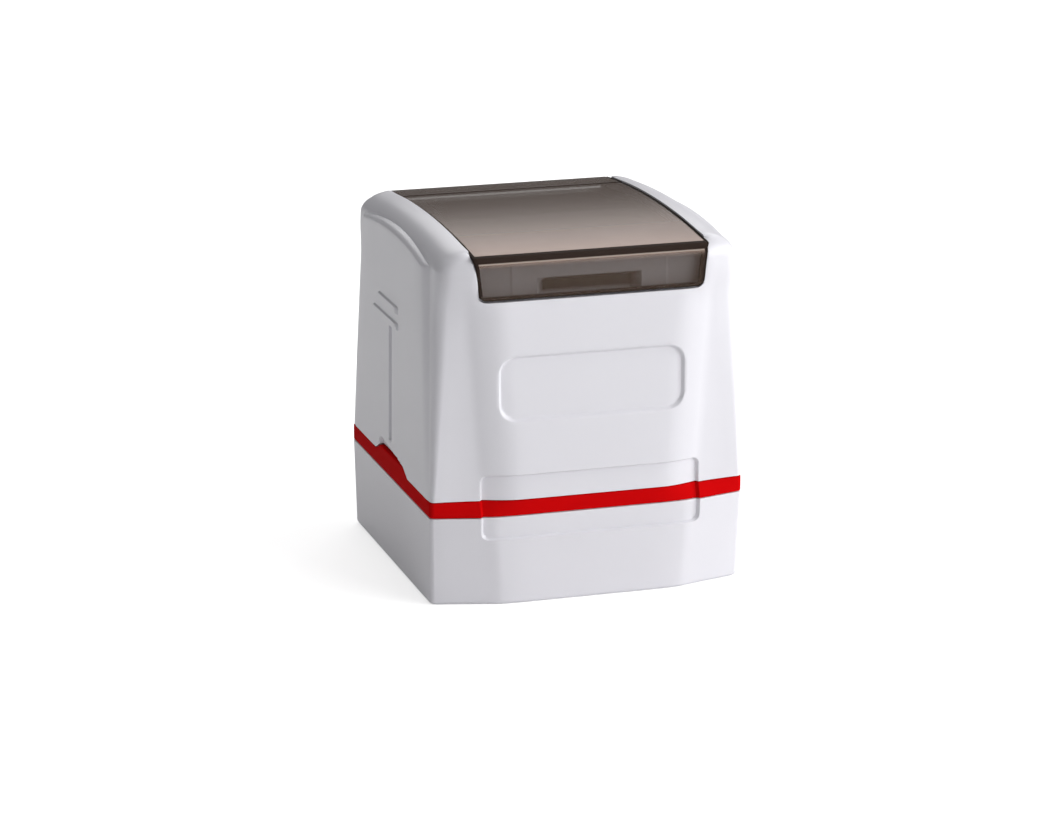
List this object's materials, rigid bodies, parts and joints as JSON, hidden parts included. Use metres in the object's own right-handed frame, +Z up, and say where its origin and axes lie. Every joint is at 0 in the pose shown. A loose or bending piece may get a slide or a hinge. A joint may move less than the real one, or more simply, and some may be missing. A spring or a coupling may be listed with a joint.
{
  "type": "pre-inked stamp",
  "caption": "Square pre-inked hand stamp with pull-off dust cap, red colour ring, hinged smoked window over a card, and a sprung sleeve around the die.",
  "frame": {"origin": "middle of the footprint, at the bottom of the dust cap", "axes": "+Z up, front with the bare pocket towards -Y, +X to the right seen from the front"},
  "size_m": [0.05, 0.0514, 0.0559],
  "materials": {
    "white_plastic": "satin white moulded plastic",
    "red_plastic": "satin red moulded plastic",
    "smoked_plastic": "smoked see-through plastic",
    "card": "matt white card",
    "grey_plastic": "matt grey moulded plastic",
    "ink_foam": "ink-soaked foam",
    "die_foam": "matt microporous rubber",
    "steel": "bright wire and screws",
    "plug_rubber": "soft black rubber"
  },
  "bodies": {
    "cap": {"dust_cap": "white_plastic"},
    "handle": {"colour_ring": "red_plastic", "handle_shell": "white_plastic", "index_card": "card", "die_carrier": "grey_plastic", "ink_pad": "ink_foam", "stamp_die": "die_foam", "die_frame": "grey_plastic", "carrier_screw_front_left": "steel", "spring_front_left": "steel", "carrier_screw_front_right": "steel", "spring_front_right": "steel", "carrier_screw_rear_left": "steel", "spring_rear_left": "steel", "carrier_screw_rear_right": "steel", "spring_rear_right": "steel", "ink_plug_left": "plug_rubber", "ink_plug_right": "plug_rubber"},
    "sleeve": {"sleeve": "white_plastic"},
    "window": {"window_cover": "smoked_plastic"}
  },
  "joints": [
    {"name": "handle_lift", "type": "slide", "parent": "cap", "child": "handle", "axis": [0, 0, 1], "range_m": [0, 0.03]},
    {"name": "sleeve_slide", "type": "slide", "parent": "handle", "child": "sleeve", "axis": [0, 0, 1], "range_m": [0, 0.0032], "stiffness_N_per_m": 1200, "springref_m": -0.004, "deforming": ["spring_front_left", "spring_front_right", "spring_rear_left", "spring_rear_right"]},
    {"name": "window_hinge", "type": "hinge", "parent": "handle", "child": "window", "pos_m": [0, 0.0236, 0.0491], "axis": [-1, 0, 0], "range_deg": [0, 90]}
  ]
}
